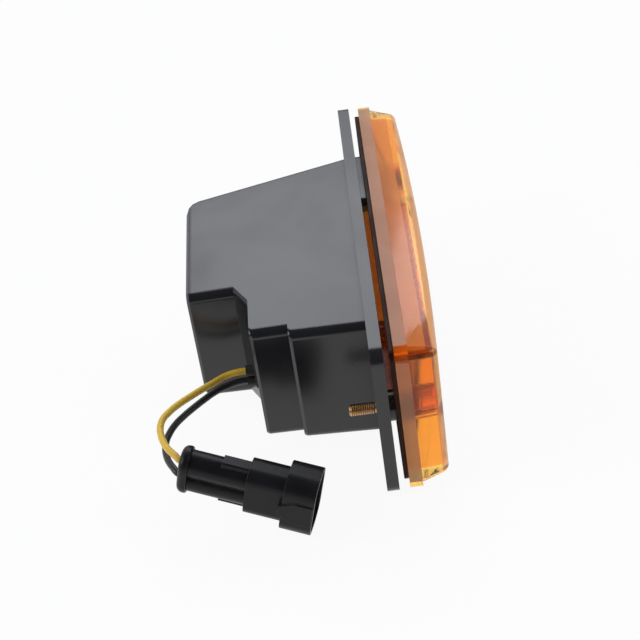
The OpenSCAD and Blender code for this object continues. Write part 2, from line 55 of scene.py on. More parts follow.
# %% [markdown]
# ## Where the lamp's own numbers live
# The lamp was drawn from the rear face of its flange, and the finished frame has its origin at the middle
# of the lamp's depth. Every place could be changed to the frame's metres by hand, but then none could be
# checked with a ruler. One function makes that change instead, so the places below are millimetres,
# measured from that face.

# %% Lamp coordinates
HOUSING_DEPTH = 57.4
FLANGE_W, FLANGE_H = 151.0, 58.0
MID_Z = FLANGE_H / 2
FLANGE_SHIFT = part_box("housing")[0].x / MM + HOUSING_DEPTH


def at_lamp(x, y, z):
    """A point given in millimetres from the flange's rear face, in the frame's metres."""
    return Vector(((x + FLANGE_SHIFT) * MM, y * MM, z * MM))


print("flange rear face at x =", round(FLANGE_SHIFT, 2), "mm")

# %% [markdown]
# ## Two small helpers
# Nearly every cell makes an object and puts it into the scene, and many keep what a curve or a modifier
# makes as a plain mesh. Blender has operators for both, but they depend on what is selected. These two
# functions work on the data itself, so they give the same result in any scene.

# %% Object helpers


def new_object(name, data):
    """An object at the origin, linked into the scene."""
    thing = bpy.data.objects.new(name, data)
    bpy.context.scene.collection.objects.link(thing)
    return thing


def made_mesh(thing):
    """A new mesh of what an object's curve or modifiers make."""
    graph = bpy.context.evaluated_depsgraph_get()
    return bpy.data.meshes.new_from_object(thing.evaluated_get(graph))


# %% [markdown]
# ## The camera
# The photograph was taken from the end with the lead, about 37 degrees above the lamp, with a long lens.
# A camera could be aimed at the lamp by a constraint, but that never rolls it. The real lamp had tipped back
# a little on its housing, so here the camera rolls instead of the lamp. Its three turns are made in the
# order of a tripod head: round, down, and over.

# %% Camera
CAMERA_PLACE = (0.94, -476.31, 376.34)
FOCAL_LENGTH, SENSOR_W = 96.05, 36.0
LOOK_ROUND, LOOK_DOWN, ROLL = 1.99, 36.99, -8.74

camera = new_object("camera", bpy.data.cameras.new("camera"))
camera.data.sensor_width = SENSOR_W
camera.data.lens = FOCAL_LENGTH
camera.data.clip_start = 0.01
camera.data.clip_end = 20.0
turn = Matrix.Rotation(radians(LOOK_ROUND), 4, "Z")
tilt = Matrix.Rotation(radians(90 - LOOK_DOWN), 4, "X")
roll = Matrix.Rotation(radians(ROLL), 4, "Z")
camera.matrix_world = Matrix.Translation(at_lamp(*CAMERA_PLACE)) @ turn @ tilt @ roll
bpy.context.scene.camera = camera
print("camera at", [round(v, 3) for v in camera.matrix_world.translation])

# %% [markdown]
# ## The two wires
# Each wire leaves the grommet straight, swings out and drops a little under its own weight, and turns back
# into the connector. Its length is taken from the photograph, which shows it from end to end.
# Geometry Nodes could sweep it, but a curve with a round bevel is the plainest way to draw a wire through
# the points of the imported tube. The curve is kept in two forms: its bare line, which is the wire's centre,
# and its tube as a mesh. A bevelled curve can't stay a curve here, because the box that Blender gives it
# adds each point's radius, 1.0, as if it were a metre.

# %% Wires
WIRE_D = 2.3
YELLOW_ROUTE = [(-41, -36.5, 28), (-43, -36.5, 28), (-48, -36.8, 27.2), (-52.6, -39.2, 26.6),
                (-56.4, -41.2, 26.2), (-60, -43.4, 25.8), (-63.6, -45.8, 25.4), (-66.8, -48.6, 25),
                (-69, -51.8, 24.8), (-69.8, -56, 24.6), (-69.4, -59.8, 24.7), (-68.5, -63.4, 24.9),
                (-67.2, -66.9, 25.3), (-65.8, -69.5, 25.6), (-64.5, -71.5, 25.7), (-63.5, -72.9, 25.4),
                (-62.8, -73.4, 25.1), (-59.9, -74.2, 24.4)]
BLACK_ROUTE = [(-41, -36.5, 24), (-43, -36.5, 24), (-48, -36.8, 23), (-52, -38.2, 22.4),
               (-56, -40.6, 21.6), (-59.6, -43.4, 21), (-62.8, -46.4, 20.6), (-65.6, -49.6, 20.2),
               (-67.6, -53.2, 19.8), (-68.8, -56.9, 19.4), (-68.9, -60.8, 19.3), (-68.3, -64.8, 19.5),
               (-67.3, -68, 19.8), (-66.1, -70.6, 20), (-65.1, -72.4, 19.7), (-64.2, -73, 19.3),
               (-61.3, -73.8, 18.5)]


def curve_mesh(name, curve):
    """A curve as it looks, kept as a mesh."""
    carrier = new_object(name, curve)
    mesh = made_mesh(carrier)
    bpy.data.objects.remove(carrier)
    mesh.name = name
    return mesh


def wire(name, route):
    """A round wire along a route: its tube as a piece, and the points of its own line."""
    curve = bpy.data.curves.new(name, "CURVE")
    curve.dimensions = "3D"
    curve.bevel_resolution = 6
    curve.resolution_u = 6
    curve.use_fill_caps = True
    spline = curve.splines.new("BEZIER")
    spline.bezier_points.add(len(route) - 1)
    for knot, point in zip(spline.bezier_points, route):
        knot.co = at_lamp(*point)
        knot.handle_left_type = knot.handle_right_type = "AUTO"
    line = [vert.co.copy() for vert in curve_mesh(name + "_line", curve).vertices]
    curve.bevel_depth = WIRE_D / 2 * MM
    return new_object(name, curve_mesh(name, curve)), line


def line_length(line):
    """Length in metres of a line of points."""
    return sum((b - a).length for a, b in zip(line, line[1:]))


yellow_wire, yellow_line = wire("yellow_wire", YELLOW_ROUTE)
black_wire, black_line = wire("black_wire", BLACK_ROUTE)
for piece, line, node in ((yellow_wire, yellow_line, "wire_yellow"), (black_wire, black_line, "wire_black")):
    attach(piece, "root")
    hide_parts(node)
    print(piece.name, "length", round(line_length(line), 4), "m through", len(line), "points")

# %% [markdown]
# ## Shared surface effects
# Moulded plastic is never one flat grey: the mould's spark texture gives it a fine grain, handling leaves
# faint smears, and the corners go paler with rubbing. The same paler colour also paints on them the thin
# highlight that a glossy rounded edge catches. Each material could hold these nodes itself, but then every
# change would be made many times. Here they are shader groups that any material places with its own values.
# They read Object coordinates, in metres, so a value of 900 is about 900 grains a metre.

# %% Node helpers
NUMBER_SOCKETS = {float: "NodeSocketFloat", int: "NodeSocketInt"}


def add(tree, kind, **settings):
    """A node with its settings, where a key that names an input sets that input."""
    node = tree.nodes.new(kind)
    for key, value in settings.items():
        label = key.replace("_", " ").title()
        if label in node.inputs:
            node.inputs[label].default_value = value
        else:
            setattr(node, key, value)
    return node


def new_group(name, kind, inputs, outputs):
    """A node group and its two end nodes. An input is listed with its number, or with its socket's kind."""
    group = bpy.data.node_groups.new(name, kind)
    for label, value in inputs.items():
        socket_kind = NUMBER_SOCKETS.get(type(value), value)
        socket = group.interface.new_socket(label, in_out="INPUT", socket_type=socket_kind)
        if type(value) in NUMBER_SOCKETS:
            socket.default_value = value
    for label, socket_kind in outputs.items():
        group.interface.new_socket(label, in_out="OUTPUT", socket_type=socket_kind)
    return group, add(group, "NodeGroupInput"), add(group, "NodeGroupOutput")


print("number sockets:", list(NUMBER_SOCKETS.values()))

# %% [markdown]
# ## Mould grain and smears
# A steel mould is finished by sparks or etching, and prints a fine grain on the plastic. Fingers leave broad
# faint smears over it. Both are noise at very different scales, so one group holds both: the fine noise goes
# out as a height for a bump, and the slow noise as a mask between a clean and a smeared state.

# %% Grain and smears


def grain_group():
    """Fine mould grain as a height, and slow smears as a mask."""
    group, start, end = new_group("moulded_grain", "ShaderNodeTree", {"Grains": 1800.0, "Smears": 45.0},
                                  {"Height": "NodeSocketFloat", "Smear": "NodeSocketFloat"})
    place = add(group, "ShaderNodeTexCoord")
    grain = add(group, "ShaderNodeTexNoise", detail=3.0, roughness=0.55)
    smear = add(group, "ShaderNodeTexNoise", detail=4.0, roughness=0.6, distortion=0.8)
    soft = add(group, "ShaderNodeMapRange", interpolation_type="SMOOTHERSTEP", from_min=0.25, from_max=0.8)
    link = group.links.new
    link(place.outputs["Object"], grain.inputs["Vector"])
    link(place.outputs["Object"], smear.inputs["Vector"])
    link(start.outputs["Grains"], grain.inputs["Scale"])
    link(start.outputs["Smears"], smear.inputs["Scale"])
    link(smear.outputs["Fac"], soft.inputs["Value"])
    link(grain.outputs["Fac"], end.inputs["Height"])
    link(soft.outputs["Result"], end.inputs["Smear"])
    return group


GRAIN = grain_group()
print("group:", GRAIN.name, "with", len(GRAIN.nodes), "nodes")

# %% [markdown]
# ## Paler edges: rubbing and a painted highlight
# A moulding's corners are touched most, and they go paler and patchy. The same paler colour also paints
# the thin highlight that a glossy rounded edge catches. A Pointiness input could find them, but it depends
# on how fine the mesh is. Every dressed piece will carry an "edge" attribute that says which faces were
# rounded, so this group takes the paler places from the shape itself, and noise breaks them up.

# %% Paler edges and painted highlight


def edge_wear_and_glint_group():
    """How much each rounded edge pales from rubbing and a painted highlight, from its "edge" attribute and
    noise.
    """
    group, start, end = new_group("paler_glinting_edges", "ShaderNodeTree", {"Amount": 0.5, "Patches": 220.0},
                                  {"Glint_and_wear": "NodeSocketFloat"})
    edge = add(group, "ShaderNodeAttribute", attribute_name="edge")
    place = add(group, "ShaderNodeTexCoord")
    patch = add(group, "ShaderNodeTexNoise", detail=3.0, roughness=0.6)
    broken = add(group, "ShaderNodeMapRange", from_min=0.35, from_max=0.65)
    wear_and_glint_share = add(group, "ShaderNodeMath", operation="MULTIPLY")
    scaled = add(group, "ShaderNodeMath", operation="MULTIPLY")
    link = group.links.new
    link(place.outputs["Object"], patch.inputs["Vector"])
    link(start.outputs["Patches"], patch.inputs["Scale"])
    link(patch.outputs["Fac"], broken.inputs["Value"])
    link(edge.outputs["Fac"], wear_and_glint_share.inputs[0])
    link(broken.outputs["Result"], wear_and_glint_share.inputs[1])
    link(wear_and_glint_share.outputs[0], scaled.inputs[0])
    link(start.outputs["Amount"], scaled.inputs[1])
    link(scaled.outputs[0], end.inputs["Glint_and_wear"])
    return group


EDGE_WEAR_AND_GLINT = edge_wear_and_glint_group()
print("group:", EDGE_WEAR_AND_GLINT.name, "with", len(EDGE_WEAR_AND_GLINT.nodes), "nodes")

# %% [markdown]
# ## One maker for every finish
# Each finish could be a tree of its own, but they differ only in their numbers: how rough, how far the smears
# change it, how deep the grain is, and whether it is metal or clear. So one function builds a Principled
# shader whose colour and roughness drift with the smears, with a bump from the grain. What is the same all
# over a surface, such as its refractive index, is set on the shader's own socket.

# %% Finish maker
BUMP_DEPTH = 0.1 * MM
MIX_SHARE, MIX_FIRST, MIX_SECOND, MIX_RESULT = 0, 6, 7, 2


def colour_mix(tree, first, second):
    """A mix of two colours, whose sockets are known by number because their names come more than once."""
    mix = add(tree, "ShaderNodeMix", data_type="RGBA")
    mix.inputs[MIX_FIRST].default_value = (*first, 1.0)
    mix.inputs[MIX_SECOND].default_value = (*second, 1.0)
    return mix


def finish(name, colour, smeared, roughness, rough_smear=0.0, bump=0.0, grains=1800.0, smears=45.0, wear_and_glint_amount=0.0,
           wear_and_glint_colour=None, **sockets):
    """A material whose colour and roughness drift between a clean and a smeared state, with edges paled by
    rubbing and a painted highlight.
    """
    material = bpy.data.materials.new(name)
    material.use_nodes = True
    tree = material.node_tree
    link = tree.links.new
    shader = tree.nodes["Principled BSDF"]
    effect = add(tree, "ShaderNodeGroup", node_tree=GRAIN, grains=grains, smears=smears)
    mix = colour_mix(tree, colour, smeared)
    link(effect.outputs["Smear"], mix.inputs[MIX_SHARE])
    tint = mix.outputs[MIX_RESULT]
    # Edges go paler, partly from rubbing and partly as a painted highlight.
    if wear_and_glint_amount:
        wear_and_glint_node = add(tree, "ShaderNodeGroup", node_tree=EDGE_WEAR_AND_GLINT, amount=wear_and_glint_amount)
        over = colour_mix(tree, colour, wear_and_glint_colour)
        link(wear_and_glint_node.outputs["Glint_and_wear"], over.inputs[MIX_SHARE])
        link(tint, over.inputs[MIX_FIRST])
        tint = over.outputs[MIX_RESULT]
    link(tint, shader.inputs["Base Color"])
    rough = add(tree, "ShaderNodeMapRange", to_min=roughness, to_max=roughness + rough_smear)
    link(effect.outputs["Smear"], rough.inputs["Value"])
    link(rough.outputs["Result"], shader.inputs["Roughness"])
    if bump:
        dent = add(tree, "ShaderNodeBump", strength=bump, distance=BUMP_DEPTH)
        link(effect.outputs["Height"], dent.inputs["Height"])
        link(dent.outputs["Normal"], shader.inputs["Normal"])
    for label, value in sockets.items():
        shader.inputs[label.replace("_", " ").title().replace("Ior", "IOR")].default_value = value
    return material


print("grain depth at full strength:", BUMP_DEPTH, "m")

# %% [markdown]
# ## Plastics, rubbers and metals
# The housing is a satin black moulding, the connector a duller one, and the gasket a black rubber with a
# slight red cast. The photograph hides the metal inside, so it follows what such lamps have: brass for the
# bulb's cap and the contacts, steel for its holder. Each line gives a clean colour, a smeared colour, a
# roughness, how far smears add to it, and the strength of the grain.

# %% Plain finishes
# The paler edge colour of the two black mouldings is partly rubbing and partly a painted highlight.
black_moulding = finish("black_moulding", (0.012, 0.012, 0.0145), (0.018, 0.017, 0.019), 0.20, 0.08, 0.08,
                        smears=22.0, wear_and_glint_amount=0.7, wear_and_glint_colour=(0.10, 0.098, 0.105), specular_ior_level=0.55)
connector_black = finish("connector_black", (0.009, 0.0085, 0.0095), (0.014, 0.013, 0.015), 0.34, 0.08, 0.2,
                         wear_and_glint_amount=0.6, wear_and_glint_colour=(0.10, 0.095, 0.10), specular_ior_level=0.2)
gasket_rubber = finish("gasket_rubber", (0.034, 0.012, 0.009), (0.048, 0.017, 0.012), 0.5, 0.15, 0.3,
                       specular_ior_level=0.2)
black_rubber = finish("black_rubber", (0.014, 0.013, 0.013), (0.022, 0.021, 0.020), 0.62, 0.15, 0.4)
yellow_sleeve = finish("yellow_sleeve", (0.88, 0.58, 0.05), (0.80, 0.48, 0.03), 0.30, 0.12, 0.1, smears=160.0)
black_sleeve = finish("black_sleeve", (0.012, 0.012, 0.013), (0.022, 0.022, 0.022), 0.36, 0.12, 0.1,
                      smears=160.0)
seal_rubber = finish("seal_rubber", (0.52, 0.12, 0.03), (0.44, 0.09, 0.02), 0.5, 0.1, 0.2)
brown_fibre = finish("brown_fibre", (0.24, 0.13, 0.06), (0.18, 0.09, 0.04), 0.7, 0.1, 0.5, grains=900.0)
brass = finish("brass", (0.78, 0.58, 0.26), (0.66, 0.46, 0.18), 0.28, 0.15, 0.1, metallic=1.0)
steel = finish("steel", (0.62, 0.62, 0.63), (0.52, 0.52, 0.53), 0.30, 0.15, 0.1, metallic=1.0)
tinned = finish("tinned", (0.74, 0.73, 0.71), (0.62, 0.61, 0.58), 0.34, 0.15, 0.1, metallic=1.0)
yellow_zinc = finish("yellow_zinc", (0.62, 0.40, 0.20), (0.50, 0.32, 0.20), 0.28, 0.12, 0.1, smears=260.0,
                     metallic=1.0)
bright_reflector = finish("bright_reflector", (0.86, 0.86, 0.87), (0.80, 0.80, 0.81), 0.08, 0.06,
                          metallic=1.0)
bulb_glass = finish("bulb_glass", (1.0, 0.97, 0.92), (1.0, 0.95, 0.88), 0.02, 0.02,
                    transmission_weight=1.0, ior=1.5)
print("materials:", len(bpy.data.materials))

# %% [markdown]
# ## The amber lens's finishes
# The real lens is one clear amber plastic, with a refractive index of about 1.49 if it is acrylic, and one
# glass material was the first thing tried. A ray that enters one face of such glass and meets the next at a
# right angle is reflected back in, which left dark blotches that the photograph doesn't have. So each zone
# has a finish of its own, fitted to colours measured in the photograph. Some bend light less than
# the real plastic does, and some carry part of their colour as plain diffuse colour. It is a way to get the
# look from the photograph's side, and not how the plastic is.

# %% Amber finishes


def amber(part, colour, smeared, roughness, rough_smear, clear, ior, **more):
    """One finish of the lens, where clear is the share of it that is glass."""
    return finish("amber_" + part, colour, smeared, roughness, rough_smear, transmission_weight=clear,
                  ior=ior, **more)


SOFT_COAT = {"coat_weight": 0.6, "coat_roughness": 0.08}
AMBER = {
    "clear": amber("lens", (1.0, 0.60, 0.12), (1.0, 0.57, 0.11), 0.07, 0.03, 1.0, 1.49,
                   specular_ior_level=0.7),
    "rim": amber("rim", (0.47, 0.235, 0.12), (0.43, 0.20, 0.095), 0.40, 0.06, 0.45, 1.49, bump=0.2),
    "inner": amber("inner", (1.0, 0.56, 0.11), (1.0, 0.53, 0.10), 0.12, 0.04, 1.0, 1.49,
                   specular_ior_level=0.3),
    "edge": amber("edge", (0.84, 0.40, 0.18), (0.80, 0.37, 0.16), 0.30, 0.05, 0.8, 1.49),
    "gap": amber("gap", (1.0, 0.45, 0.03), (0.75, 0.26, 0.02), 0.30, 0.04, 0.35, 1.12, smears=70.0,
                 specular_ior_level=0.05),
    "wall": amber("wall", (1.0, 0.78, 0.38), (1.0, 0.76, 0.35), 0.08, 0.04, 1.0, 1.49,
                  specular_ior_level=0.3),
    "near": amber("near", (1.0, 0.60, 0.08), (1.0, 0.57, 0.07), 0.06, 0.03, 1.0, 1.40,
                  specular_ior_level=0.15),
    "end": amber("end", (1.0, 0.62, 0.14), (1.0, 0.59, 0.13), 0.12, 0.04, 1.0, 1.06, **SOFT_COAT),
    "tip": amber("tip", (1.0, 0.42, 0.10), (1.0, 0.39, 0.09), 0.12, 0.04, 1.0, 1.06, **SOFT_COAT),
    # corner is a painted lit band, orange-red, on the near upper corner's faces that turn mostly up.
    "corner": amber("corner", (0.80, 0.20, 0.01), (0.70, 0.15, 0.01), 0.12, 0.04, 0.85, 1.49,
                    specular_ior_level=0.3),
    # lid and ceiling carry part of their colour as diffuse orange, a painted lit strip in place of the
    # floor's light seen through the lens.
    "lid": amber("lid", (1.0, 0.36, 0.03), (0.96, 0.33, 0.02), 0.25, 0.05, 0.8, 1.2,
                 specular_ior_level=0.05),
    "ceiling": amber("ceiling", (1.0, 0.45, 0.07), (0.96, 0.42, 0.06), 0.16, 0.05, 0.3, 1.49,
                     specular_ior_level=0.35),
    # shade is a painted shade, dark brown, on the near upper corner's faces that turn more to the near side
    # and on the upright faces in the gap.
    "shade": amber("shade", (0.16, 0.04, 0.005), (0.40, 0.13, 0.01), 0.12, 0.04, 0.5, 1.45, smears=160.0)}
print("lens finishes:", len(AMBER))

# %% [markdown]
# ## One helix for threads and filament
# A screw thread and a bulb's filament are the same thing: a section swept along a helix. A Screw modifier
# could make each of them, but a Geometry Nodes group makes both from one tree. A section of four corners
# gives a thread's sharp ridge, and a section of eight gives round wire.

# %% Helix group


def helix_group():
    """A section of a few or many corners swept along a helix that climbs the Z axis."""
    group, start, end = new_group("helix_sweep", "GeometryNodeTree",
                                  {"Turns": 3.0, "Climb": 0.01, "Radius": 0.002, "Section Radius": 0.0003,
                                   "Section Corners": 8, "Steps": 32, "Material": "NodeSocketMaterial"},
                                  {"Geometry": "NodeSocketGeometry"})
    spiral = add(group, "GeometryNodeCurveSpiral")
    normal = add(group, "GeometryNodeSetCurveNormal", mode="Z_UP")
    section = add(group, "GeometryNodeCurvePrimitiveCircle")
    sweep = add(group, "GeometryNodeCurveToMesh", fill_caps=True)
    smooth = add(group, "GeometryNodeSetShadeSmooth")
    real = add(group, "GeometryNodeRealizeInstances")
    coat = add(group, "GeometryNodeSetMaterial")
    link = group.links.new
    link(start.outputs["Steps"], spiral.inputs["Resolution"])
    link(start.outputs["Turns"], spiral.inputs["Rotations"])
    link(start.outputs["Radius"], spiral.inputs["Start Radius"])
    link(start.outputs["Radius"], spiral.inputs["End Radius"])
    link(start.outputs["Climb"], spiral.inputs["Height"])
    link(start.outputs["Section Corners"], section.inputs["Resolution"])
    link(start.outputs["Section Radius"], section.inputs["Radius"])
    link(spiral.outputs["Curve"], normal.inputs["Curve"])
    link(normal.outputs["Curve"], sweep.inputs["Curve"])
    link(section.outputs["Curve"], sweep.inputs["Profile Curve"])
    link(sweep.outputs["Mesh"], smooth.inputs["Geometry"])
    link(smooth.outputs["Geometry"], real.inputs["Geometry"])
    link(real.outputs["Geometry"], coat.inputs["Geometry"])
    link(start.outputs["Material"], coat.inputs["Material"])
    link(coat.outputs["Geometry"], end.inputs["Geometry"])
    return group


HELIX = helix_group()
print("group:", HELIX.name, "with", len(HELIX.nodes), "nodes")

# %% [markdown]
# ## The screws' threads
# Two screws, taken to be M4, hold the lens to the housing, and their ends stand out behind the flange. The
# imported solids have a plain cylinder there. A bump could suggest a thread, but its outline would stay
# straight, so each screw gets a real ridge with the 0.7 mm pitch of an M4 thread.

# %% Threads
SCREW_SPACING, SCREW_R, THREAD_PITCH = 129.0, 2.0, 0.7
THREAD_FROM, THREAD_TO = -8.1, -0.75
RIDGE_SIZE, RIDGE_INSET, RIDGE_CORNERS, THREAD_STEPS = 0.35, 0.36, 4, 32
RIDGE_R = SCREW_R - RIDGE_INSET
THREAD_TURNS = (THREAD_TO - THREAD_FROM) / THREAD_PITCH


def helix_mesh(name, material, from_x, to_x, y, radius, section, corners, turns, steps):
    """The group's result as a mesh about an axis along X at mid height, in lamp coordinates."""
    carrier = new_object(name, bpy.data.meshes.new(name))
    nodes = carrier.modifiers.new("helix", "NODES")
    nodes.node_group = HELIX
    values = {"Turns": float(turns), "Climb": (to_x - from_x) * MM, "Radius": radius * MM,
              "Section Radius": section * MM, "Section Corners": corners, "Steps": steps,
              "Material": material}
    for item in HELIX.interface.items_tree:
        if item.in_out == "INPUT":
            nodes[item.identifier] = values[item.name]
    mesh = made_mesh(carrier)
    bpy.data.objects.remove(carrier)
    mesh.transform(Matrix.Translation(at_lamp(from_x, y, MID_Z)) @ Matrix.Rotation(radians(90), 4, "Y"))
    mesh.name = name
    return mesh


threads = {}
for side, name in ((-1, "near"), (1, "far")):
    threads[name] = helix_mesh("thread_" + name, yellow_zinc, THREAD_FROM, THREAD_TO,
                               side * SCREW_SPACING / 2, RIDGE_R, RIDGE_SIZE, RIDGE_CORNERS, THREAD_TURNS,
                               THREAD_STEPS)
    print("thread", name, "turns", round(THREAD_TURNS, 1), "faces", len(threads[name].polygons))

# %% [markdown]
# ## Dressing the imported solids
# The imported meshes are loose triangles, exact but with razor edges, and real mouldings and stampings have
# none. Each form could be modelled again, but its size might then drift. Instead a copy is merged, its edges
# get a small radius, and it stands for its node. The size stays, because a bevel only takes material away.
# The faces that the bevel makes are marked by a second material slot, and the mark becomes the "edge"
# attribute from which the paler edges, partly rubbing and partly a painted highlight, are drawn.

# %% Merging and rounding
MERGE_GAP = 0.002 * MM
SHARP_EDGE, EDGE_SEGMENTS = 35.0, 2


def merged_copy(node, flat, reshape):
    """A copy of a node's mesh, merged, with faces that differ by less than flat degrees made one."""
    mesh = NODES[node].data.copy()
    mesh.name = "dressed_" + node
    build = bmesh.new()
    build.from_mesh(mesh)
    bmesh.ops.remove_doubles(build, verts=build.verts, dist=MERGE_GAP)
    bmesh.ops.dissolve_limit(build, angle_limit=radians(flat), verts=build.verts, edges=build.edges)
    if reshape:
        reshape(build)
    build.to_mesh(mesh)
    build.free()
    return mesh


def round_edges(piece, radius):
    """Rounds a piece's sharp edges, and puts the new faces in the second material slot."""
    bevel = piece.modifiers.new("edges", "BEVEL")
    bevel.width = radius * MM
    bevel.segments = EDGE_SEGMENTS
    bevel.limit_method = "ANGLE"
    bevel.angle_limit = radians(SHARP_EDGE)
    bevel.use_clamp_overlap = True
    bevel.material = 1
    piece.modifiers.new("normals", "WEIGHTED_NORMAL").keep_sharp = True
    mesh = made_mesh(piece)
    piece.modifiers.clear()
    piece.data = mesh


print("edges sharper than", SHARP_EDGE, "degrees are rounded")

# %% Dressing a node
NEARLY_FLAT, SHARP_SHADING = 0.5, 45.0


def add_mesh(piece, mesh):
    """Joins a second mesh into a piece."""
    build = bmesh.new()
    build.from_mesh(piece.data)
    build.from_mesh(mesh)
    build.to_mesh(piece.data)
    build.free()


def dress(node, material, radius, flat=NEARLY_FLAT, reshape=None, extra=None):
    """A merged copy of a node with rounded edges, smooth between creases."""
    mesh = merged_copy(node, flat, reshape)
    mesh.materials.clear()
    mesh.materials.append(material)
    mesh.materials.append(material)
    for face in mesh.polygons:
        face.material_index = 0
        face.use_smooth = True
    piece = new_object(mesh.name, mesh)
    if radius:
        round_edges(piece, radius)
    edge = piece.data.attributes.new("edge", "FLOAT", "FACE")
    for face in piece.data.polygons:
        edge.data[face.index].value = float(face.material_index)
        face.material_index = 0
    piece.data.materials.pop()
    if extra:
        add_mesh(piece, extra)
    piece.data.set_sharp_from_angle(angle=radians(SHARP_SHADING))
    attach(piece, "root")
    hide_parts(node)
    return piece


print("edges sharper than", SHARP_SHADING, "degrees are shaded sharp")

# %% [markdown]
# ## The lens's form
# The lens is a thick rim with a drafted dome in front of it, whose face is crowned like a shallow barrel.
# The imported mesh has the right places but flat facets, which show in clear plastic as bright stripes. More
# facets would only make thinner stripes. The dome follows a simple rule, so its true normal can be worked
# out at any point, and every outer corner of the mesh is given that normal.

# %% Dome normals
RIM_X0, RIM_X1, LENS_FRONT = 7.4, 11.6, 22.3
FRONT_R, FRONT_INSET, BASE_INSET, CROWN_R = 3.0, 3.2, 1.3, 1500.0
ON_THE_CROWN = 0.01


def dome_normal(place):
    """The true normal of the smooth dome at a point of its outside, in lamp coordinates."""
    x, y, z = place.x - FLANGE_SHIFT, place.y, place.z - MID_Z
    half_y, half_z = FLANGE_W / 2 - FRONT_INSET - FRONT_R, MID_Z - FRONT_INSET - FRONT_R
    core = Vector((0, max(-half_y, min(half_y, y)), max(-half_z, min(half_z, z))))
    core.x = LENS_FRONT - FRONT_R - core.y ** 2 / (2 * CROWN_R)
    out = Vector((0, y - core.y, z - core.z))
    if out.length < ON_THE_CROWN:
        return Vector((1, y / CROWN_R, 0)).normalized()
    draft = (FRONT_INSET - BASE_INSET) / (core.x - RIM_X1)
    side = Vector((draft, *out.normalized().yz)).normalized()
    around = Vector((x - core.x, out.y, out.z)).normalized()
    return around if around.x > side.x else side


middle = Vector((LENS_FRONT + FLANGE_SHIFT, 0, MID_Z))
print("normal at the lens's middle:", [round(v, 3) for v in dome_normal(middle)])

# %% [markdown]
# ## Which finish goes where on the lens
# The rim looks frosted, except along its far end and its bottom. The light box inside has paler walls and a
# deep amber lid, and shows in the gap behind the rim, where its upright faces take a painted shade. The lid
# and the dome's ceiling towards the rim carry a painted lit strip, which stands for the floor's light seen
# through the lens, and the near upper corner has a painted lit band over a painted shade. Painting these by
# hand would tie them to one mesh. A rule that reads a face's place and the way it faces gives the same zones
# on any mesh. The light box's walls run through more than one zone, so the lens's mesh is first cut along
# the two planes where the finish changes. The limits on a normal's parts below are cosines.

# %% Lens zones
RIM_END_Y, RIM_END_Z = 70.6, 4.9
# The strip plane marks where the painted lit strip on the lid and the ceiling stops.
BOX_CUT_X, LIT_STRIP_X, BOX_Y0, BOX_Y1, BOX_Z = 6.9, 16.8, -46.6, 19.1, 9.7
RIM_BAND, SKIN_BAND, FRONT_BAND = 2.0, 5.4, 6.5
BEHIND_FRONT, PAST_RIM = 2.4, 0.3
SQUARELY, MOSTLY_NEAR, MOSTLY_UP, HALFWAY, SIDEWAYS, SLIGHTLY = 0.9, 0.7, 0.6, 0.5, 0.3, 0.2
STRAIGHT_OUT = 0.97
CUT_GAP = 0.01 * MM


def cut_box(build):
    """Cuts the mesh along two planes, where the light box's walls come into the gap and near the front."""
    for x in (BOX_CUT_X, LIT_STRIP_X):
        parts = [*build.verts, *build.edges, *build.faces]
        bmesh.ops.bisect_plane(build, geom=parts, plane_co=at_lamp(x, 0, 0), plane_no=(1, 0, 0),
                               dist=CUT_GAP)


def in_light_box(place):
    """Whether a place lies within the light box's walls, seen from the front."""
    return BOX_Y0 < place.y < BOX_Y1 and BOX_Z < place.z < FLANGE_H - BOX_Z


def bare_end(place):
    """Whether a place on the rim lies along its far end or its bottom, which stay clear."""
    return place.y > RIM_END_Y or place.z < RIM_END_Z


def lens_zone(x, place, normal):
    """Which of the lens's finishes a face takes, from its place and the way it faces."""
    from_outline = min(FLANGE_W / 2 - abs(place.y), place.z, FLANGE_H - place.z)
    if x < BOX_CUT_X:
        # Level faces in the gap stay amber, and upright ones take the painted shade.
        return "gap" if abs(normal.z) > SQUARELY else "shade"
    if in_light_box(place) and abs(normal.x) < HALFWAY:
        # Towards the rim, the light box's lid takes the painted lit strip.
        return "lid" if abs(normal.z) > SQUARELY and place.z > MID_Z and x < LIT_STRIP_X else "wall"
    # The near upper corner gets a painted lit band where its faces turn up and a painted shade where they
    # turn to the near side.
    if x > RIM_X0 and normal.y < -SLIGHTLY and normal.z > SLIGHTLY and from_outline < SKIN_BAND:
        return "corner" if normal.z > MOSTLY_UP else "shade"
    if x < RIM_X1 and abs(normal.x) < SIDEWAYS and from_outline < RIM_BAND:
        return "clear" if bare_end(place) else "rim"
    if from_outline > SKIN_BAND and x < LENS_FRONT - BEHIND_FRONT:
        # Towards the rim, the dome's downward ceiling takes the painted lit strip.
        return "ceiling" if normal.z < -SQUARELY and x < LIT_STRIP_X else "inner"
    if from_outline < FRONT_BAND and x > RIM_X1 + PAST_RIM and SIDEWAYS < normal.x < STRAIGHT_OUT:
        return "tip" if normal.y > SLIGHTLY or normal.z < -SLIGHTLY else "edge"
    if from_outline < SKIN_BAND and x > RIM_X1 and (normal.y > HALFWAY or normal.z < -HALFWAY):
        return "end"
    return "near" if normal.y < -MOSTLY_NEAR else "clear"


print("light box:", round(BOX_Y1 - BOX_Y0, 1), "by", FLANGE_H - 2 * BOX_Z, "mm")

# %% [markdown]
# ## Dress every node
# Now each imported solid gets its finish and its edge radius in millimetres. Moulded edges are rounder than
# stamped ones, and the glass, the inner leads, the seals and the thinnest sheet are left as they are. The
# lens merges only faces that are almost exactly flat, because its crown is so shallow that the usual limit
# would take its facets for one plane.

